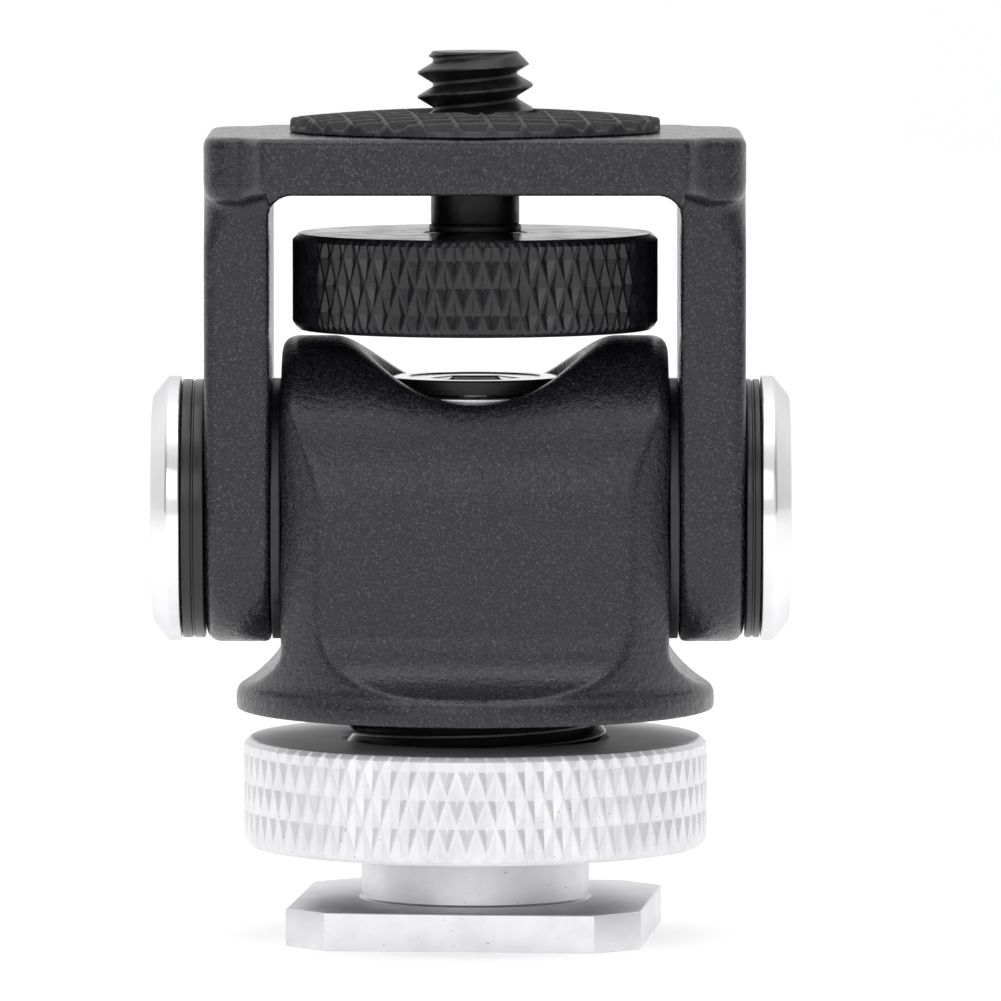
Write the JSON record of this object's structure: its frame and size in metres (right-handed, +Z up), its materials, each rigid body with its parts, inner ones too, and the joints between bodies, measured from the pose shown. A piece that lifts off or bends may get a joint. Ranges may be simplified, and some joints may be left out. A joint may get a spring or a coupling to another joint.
{
  "type": "cold shoe tilt swivel mount",
  "caption": "Small swivelling and tilting camera accessory mount with a cold shoe foot, a knurled clamp disc, a friction yoke and a captive knurled thumbscrew through a rubber pad.",
  "frame": {"origin": "centre of the cold shoe foot's underside, on the pan axis", "axes": "+Z up along the pan axis and the thumbscrew, X along the tilt axis, -Y the side seen from the front"},
  "size_m": [0.0334, 0.0252, 0.0465],
  "materials": {
    "black_powder_coat": "fine textured matt powder coat over die cast aluminium",
    "black_anodised": "black anodised, turned, slightly glossy",
    "black_screw": "black oxide steel screw",
    "black_acetal": "moulded acetal, satin",
    "rubber_pad": "moulded rubber, matt",
    "satin_silver": "silver anodised, satin, knurled rim on the disc",
    "polished_cap": "bright chrome plate",
    "spring_steel": "bright spring steel",
    "brass": "turned, bare",
    "white_nylon": "natural nylon, satin"
  },
  "bodies": {
    "shoe": {"shoe_foot": "satin_silver", "thread_collar": "black_anodised", "pan_thrust_washer": "white_nylon", "pan_spring_washer": "spring_steel", "pan_bolt": "polished_cap"},
    "clamp_travel": {"clamp_washer": "black_acetal"},
    "clamp_ring": {"clamp_disc": "satin_silver"},
    "swivel": {"swivel_body": "black_powder_coat", "pan_bush": "brass", "left_pivot_insert": "brass", "left_inner_washer": "black_acetal", "left_spacer_ring": "black_anodised", "left_spring_washer": "spring_steel", "left_cap": "polished_cap", "left_tilt_screw": "black_screw", "right_pivot_insert": "brass", "right_inner_washer": "black_acetal", "right_spacer_ring": "black_anodised", "right_spring_washer": "spring_steel", "right_cap": "polished_cap", "right_tilt_screw": "black_screw"},
    "tilt_yoke": {"yoke": "black_powder_coat", "top_pad": "rubber_pad", "left_arm_bush": "white_nylon", "right_arm_bush": "white_nylon"},
    "thumbscrew_lift_ring": {"buffer_ring": "black_acetal"},
    "thumbscrew": {"thumb_wheel": "black_anodised", "camera_screw": "black_anodised"}
  },
  "joints": [
    {"name": "pan", "type": "hinge", "parent": "shoe", "child": "swivel", "pos_m": [0, 0, 0.012], "axis": [0, 0, 1], "continuous": true},
    {"name": "tilt", "type": "hinge", "parent": "swivel", "child": "tilt_yoke", "pos_m": [0, 0, 0.0225], "axis": [1, 0, 0], "range_deg": [-80, 80]},
    {"name": "thumbscrew_lift", "type": "slide", "parent": "tilt_yoke", "child": "thumbscrew_lift_ring", "axis": [0, 0, 1], "range_m": [0, 0.0022]},
    {"name": "thumbscrew_turn", "type": "hinge", "parent": "thumbscrew_lift_ring", "child": "thumbscrew", "pos_m": [0, 0, 0.0345], "axis": [0, 0, 1], "continuous": true},
    {"name": "clamp_travel", "type": "slide", "parent": "shoe", "child": "clamp_travel", "axis": [0, 0, 1], "range_m": [-0.0025, 0.0013]},
    {"name": "clamp_turn", "type": "hinge", "parent": "clamp_travel", "child": "clamp_ring", "pos_m": [0, 0, 0.0077], "axis": [0, 0, 1], "range_deg": [-719, 374]}
  ],
  "couplings": [
    {"joint": "clamp_travel", "follows": "clamp_turn", "m_per_rad": 0.00019894}
  ]
}
